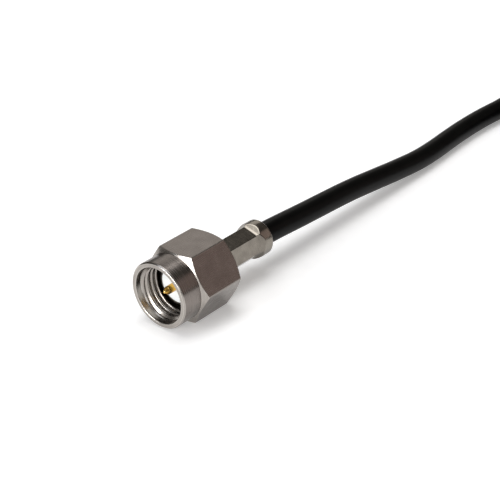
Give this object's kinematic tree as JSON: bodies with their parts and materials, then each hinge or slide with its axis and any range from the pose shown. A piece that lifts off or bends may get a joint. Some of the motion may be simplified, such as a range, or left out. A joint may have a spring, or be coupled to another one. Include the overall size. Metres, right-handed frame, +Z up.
{
  "type": "coaxial cable plug",
  "caption": "Screw-on coaxial plug with a turning hexagonal nut, centre pin and hex-crimped ferrule, on a thin coiled cable with a like plug at its far end.",
  "frame": {"origin": "on the near plug's axis, in the reference plane where its outer contact butts on the mating half", "axes": "-Y out of the near plug's mating face, +Y along its cable, +Z up, with the nuts' lowest flats in the plane z = -4 mm"},
  "size_m": [0.0376, 0.0973, 0.008],
  "materials": {
    "nut_metal": "turned passivated stainless steel",
    "body_metal": "turned passivated stainless steel",
    "ferrule_metal": "nickel plate, smooth",
    "spring_bronze": "bare phosphor bronze",
    "gold_plate": "gold plate, satin",
    "tinned_copper": "tinned copper",
    "ptfe": "machined, matt",
    "polyethylene": "extruded",
    "silicone": "moulded, matt",
    "cable_jacket": "extruded, satin",
    "tie_plastic": "moulded, satin"
  },
  "bodies": {
    "connector": {"retaining_ring": "spring_bronze", "gasket": "silicone", "plug_body": "body_metal", "insulator": "ptfe", "contact_pin": "gold_plate", "crimp_ferrule": "ferrule_metal", "braid": "tinned_copper", "dielectric": "polyethylene", "centre_conductor": "tinned_copper", "cable_lead": "cable_jacket", "cable_coil": "cable_jacket", "coil_tie": "tie_plastic", "cable_tail": "cable_jacket", "far_retaining_ring": "spring_bronze", "far_gasket": "silicone", "far_plug_body": "body_metal", "far_insulator": "ptfe", "far_contact_pin": "gold_plate", "far_crimp_ferrule": "ferrule_metal", "far_braid": "tinned_copper", "far_dielectric": "polyethylene", "far_centre_conductor": "tinned_copper"},
    "nut": {"coupling_nut": "nut_metal"},
    "far_nut": {"far_coupling_nut": "nut_metal"}
  },
  "joints": [
    {"name": "nut_spin", "type": "hinge", "parent": "connector", "child": "nut", "pos_m": [0, 0, 0], "axis": [0, 1, 0], "continuous": true},
    {"name": "far_nut_spin", "type": "hinge", "parent": "connector", "child": "far_nut", "pos_m": [0.02835, 0.0442, 0], "axis": [0, 1, 0], "continuous": true}
  ]
}
